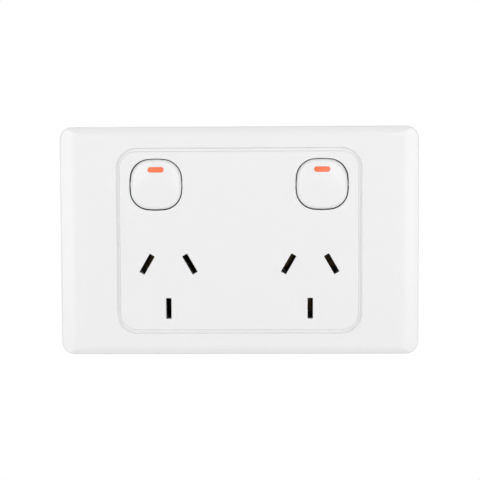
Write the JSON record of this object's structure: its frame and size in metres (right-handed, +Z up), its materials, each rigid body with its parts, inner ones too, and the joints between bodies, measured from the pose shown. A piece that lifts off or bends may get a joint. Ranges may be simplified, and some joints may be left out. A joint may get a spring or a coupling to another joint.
{
  "type": "double wall socket",
  "caption": "White double wall socket: rounded surround plate, raised panel, switched flat-pin outlets, rocker switches with coral bars, brass contacts inside.",
  "frame": {"origin": "midway between the two wall screw holes, on the flange's back, which is the wall's plane", "axes": "+Y into the wall, so the front faces -Y; +Z up; +X to the viewer's right, along the width"},
  "size_m": [0.115, 0.0337, 0.0732],
  "materials": {
    "white_gloss": "smooth moulded, slightly glossy",
    "rocker_white": "glossy moulded",
    "housing_white": "satin moulded",
    "indicator_red": "glossy coral red",
    "nylon": "natural nylon",
    "spring_steel": "drawn wire",
    "brass": "pressed brass",
    "silver": "silver alloy",
    "zinc_steel": "bright zinc plate"
  },
  "bodies": {
    "socket": {"active_busbar": "brass", "active_contact_left": "brass", "active_contact_right": "brass", "active_terminal": "brass", "active_terminal_screw": "zinc_steel", "earth_busbar": "brass", "earth_jaw_left": "brass", "earth_jaw_right": "brass", "earth_terminal": "brass", "earth_terminal_screw": "zinc_steel", "fixed_contact_left": "silver", "fixed_contact_right": "silver", "front_plate": "white_gloss", "housing_screw_1": "zinc_steel", "housing_screw_2": "zinc_steel", "housing_screw_3": "zinc_steel", "loop_terminal": "brass", "loop_terminal_screw": "zinc_steel", "neutral_busbar": "brass", "neutral_jaw_left": "brass", "neutral_jaw_right": "brass", "neutral_terminal": "brass", "neutral_terminal_screw": "zinc_steel", "rear_housing": "housing_white", "surround_cover": "white_gloss"},
    "rocker_left": {"rocker_left": "rocker_white", "indicator_left": "indicator_red", "plunger_spring_left": "spring_steel"},
    "plunger_left": {"plunger_left": "nylon"},
    "lever_left": {"contact_lever_left": "brass", "moving_contact_left": "silver"},
    "rocker_right": {"rocker_right": "rocker_white", "indicator_right": "indicator_red", "plunger_spring_right": "spring_steel"},
    "plunger_right": {"plunger_right": "nylon"},
    "lever_right": {"contact_lever_right": "brass", "moving_contact_right": "silver"}
  },
  "joints": [
    {"name": "rocker_left_tilt", "type": "hinge", "parent": "socket", "child": "rocker_left", "pos_m": [-0.0265, -0.0061, 0.01816], "axis": [1, 0, 0], "range_deg": [0, 10]},
    {"name": "plunger_left_slide", "type": "slide", "parent": "rocker_left", "child": "plunger_left", "axis": [0, 0.9962, -0.0872], "range_m": [-0.001, 0], "stiffness_N_per_m": 400, "springref_m": 0.002, "deforming": ["plunger_spring_left"]},
    {"name": "lever_left_tilt", "type": "hinge", "parent": "socket", "child": "lever_left", "pos_m": [-0.0265, 0.0064, 0.01816], "axis": [1, 0, 0], "range_deg": [-18, 0]},
    {"name": "rocker_right_tilt", "type": "hinge", "parent": "socket", "child": "rocker_right", "pos_m": [0.0265, -0.0061, 0.01816], "axis": [1, 0, 0], "range_deg": [0, 10]},
    {"name": "plunger_right_slide", "type": "slide", "parent": "rocker_right", "child": "plunger_right", "axis": [0, 0.9962, -0.0872], "range_m": [-0.001, 0], "stiffness_N_per_m": 400, "springref_m": 0.002, "deforming": ["plunger_spring_right"]},
    {"name": "lever_right_tilt", "type": "hinge", "parent": "socket", "child": "lever_right", "pos_m": [0.0265, 0.0064, 0.01816], "axis": [1, 0, 0], "range_deg": [-18, 0]}
  ],
  "couplings": [
    {"joint": "lever_left_tilt", "follows": "rocker_left_tilt", "ratio": -1.8},
    {"joint": "lever_right_tilt", "follows": "rocker_right_tilt", "ratio": -1.8}
  ]
}
